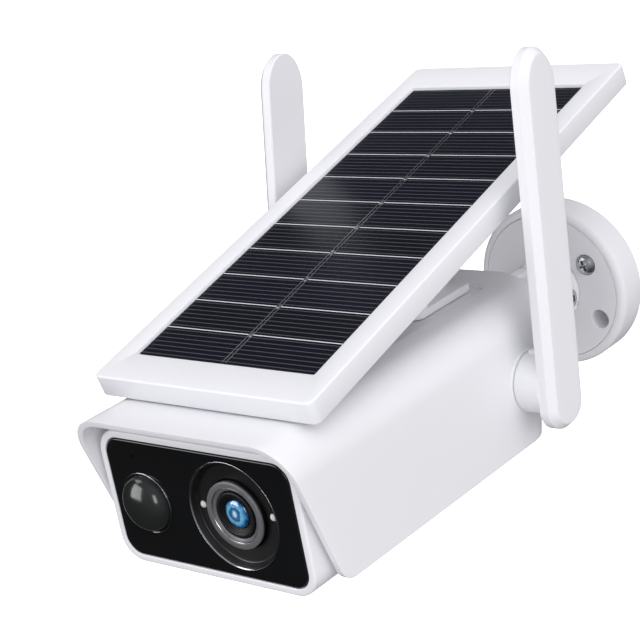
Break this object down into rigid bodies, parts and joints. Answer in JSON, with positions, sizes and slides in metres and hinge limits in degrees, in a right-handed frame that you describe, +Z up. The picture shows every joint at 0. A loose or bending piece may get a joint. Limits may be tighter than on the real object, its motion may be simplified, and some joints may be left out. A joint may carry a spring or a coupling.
{
  "type": "solar-powered security camera",
  "caption": "White outdoor battery camera with a tilting solar panel on top, turning aerial paddles, a lens and a motion sensor behind black glass, and a knuckle wall bracket.",
  "frame": {"origin": "centre of the wall bracket's back face, on the wall plane", "axes": "+Y is the back face's outward normal, into the wall; the camera looks along -Y; +Z is up; +X is to the right for someone who looks along +Y at the lens"},
  "size_m": [0.1292, 0.2328, 0.1518],
  "materials": {
    "white_housing": "fine satin moulded ABS",
    "white_panel": "satin moulded ABS",
    "black_glass": "polished, printed black behind",
    "black_plastic": "satin black moulding",
    "smoked_dome": "glossy smoked polyethylene",
    "grey_metal": "turned and anodised grey",
    "steel": "zinc plated",
    "brass": "turned",
    "lens_glass": "coated lens element",
    "led_clear": "clear cast epoxy",
    "silicon": "dark blue-black cell with fine silver fingers under clear film",
    "silver_ribbon": "tinned flat ribbon",
    "backsheet": "white laminate",
    "rubber": "black moulded silicone",
    "circuit_board": "green solder mask",
    "battery_wrap": "shrink sleeve"
  },
  "bodies": {
    "base": {"wall_base": "white_housing", "base_cover": "white_housing", "base_screw_upper": "steel", "base_screw_lower": "steel"},
    "hub": {"swivel_hub": "white_housing", "tilt_bolt": "steel", "tilt_nut": "steel"},
    "arm": {"tilt_arm": "white_housing", "camera_stud": "steel"},
    "lock_nut": {"lock_nut": "white_housing"},
    "camera": {"hood_shell": "white_housing", "rear_cover": "white_housing", "stud_insert": "brass", "inner_housing": "white_housing", "front_glass": "black_glass", "front_carrier": "black_plastic", "front_gasket": "rubber", "lens_cup": "black_plastic", "lens_ring": "grey_metal", "lens_barrel": "black_plastic", "lens_glass": "lens_glass", "image_sensor": "black_plastic", "led_left": "led_clear", "led_right": "led_clear", "pir_ring": "grey_metal", "pir_dome": "smoked_dome", "pir_sensor": "steel", "light_sensor": "black_plastic", "sensor_board": "circuit_board", "main_board": "circuit_board", "speaker": "black_plastic", "battery_holder": "black_plastic", "battery_front": "battery_wrap", "battery_rear": "battery_wrap", "usb_socket": "steel", "hinge_base": "white_housing", "hinge_pin": "steel"},
    "flap": {"service_flap": "rubber"},
    "power_button": {"power_button": "rubber"},
    "antenna_left": {"antenna_left": "white_housing", "antenna_clip_left": "steel"},
    "antenna_right": {"antenna_right": "white_housing", "antenna_clip_right": "steel"},
    "panel": {"panel_frame": "white_panel", "panel_backsheet": "backsheet", "solar_cell_01": "silicon", "solar_cell_02": "silicon", "solar_cell_03": "silicon", "solar_cell_04": "silicon", "solar_cell_05": "silicon", "solar_cell_06": "silicon", "solar_cell_07": "silicon", "solar_cell_08": "silicon", "solar_cell_09": "silicon", "solar_cell_10": "silicon", "solar_cell_11": "silicon", "cell_ribbon": "silver_ribbon", "panel_back": "white_panel", "panel_bracket": "white_housing"}
  },
  "joints": [
    {"name": "mount_swivel", "type": "hinge", "parent": "base", "child": "hub", "pos_m": [0, -0.014, 0], "axis": [0, 1, 0], "continuous": true},
    {"name": "mount_tilt", "type": "hinge", "parent": "hub", "child": "arm", "pos_m": [0, -0.025, 0], "axis": [1, 0, 0], "range_deg": [-9, 60]},
    {"name": "lock_nut_turn", "type": "hinge", "parent": "arm", "child": "lock_nut", "pos_m": [0, -0.0815, 0], "axis": [0, 1, 0], "continuous": true},
    {"name": "camera_roll", "type": "hinge", "parent": "arm", "child": "camera", "pos_m": [0, -0.0815, 0], "axis": [0, 1, 0], "continuous": true},
    {"name": "panel_tilt", "type": "hinge", "parent": "camera", "child": "panel", "pos_m": [0, -0.11181, 0.04537], "axis": [1, 0, 0], "range_deg": [-22, 0]},
    {"name": "antenna_left_turn", "type": "hinge", "parent": "camera", "child": "antenna_left", "pos_m": [-0.0582, -0.1047, 0.001], "axis": [1, 0, 0], "range_deg": [-78, 102]},
    {"name": "antenna_right_turn", "type": "hinge", "parent": "camera", "child": "antenna_right", "pos_m": [0.0582, -0.1047, 0.001], "axis": [1, 0, 0], "range_deg": [-84, 96]},
    {"name": "flap_hinge", "type": "hinge", "parent": "camera", "child": "flap", "pos_m": [0.02195, -0.173, -0.0235], "axis": [1, 0, 0], "range_deg": [0, 80]},
    {"name": "power_button_press", "type": "slide", "parent": "camera", "child": "power_button", "axis": [0, 0, 1], "range_m": [0, 0.0008], "stiffness_N_per_m": 400}
  ]
}
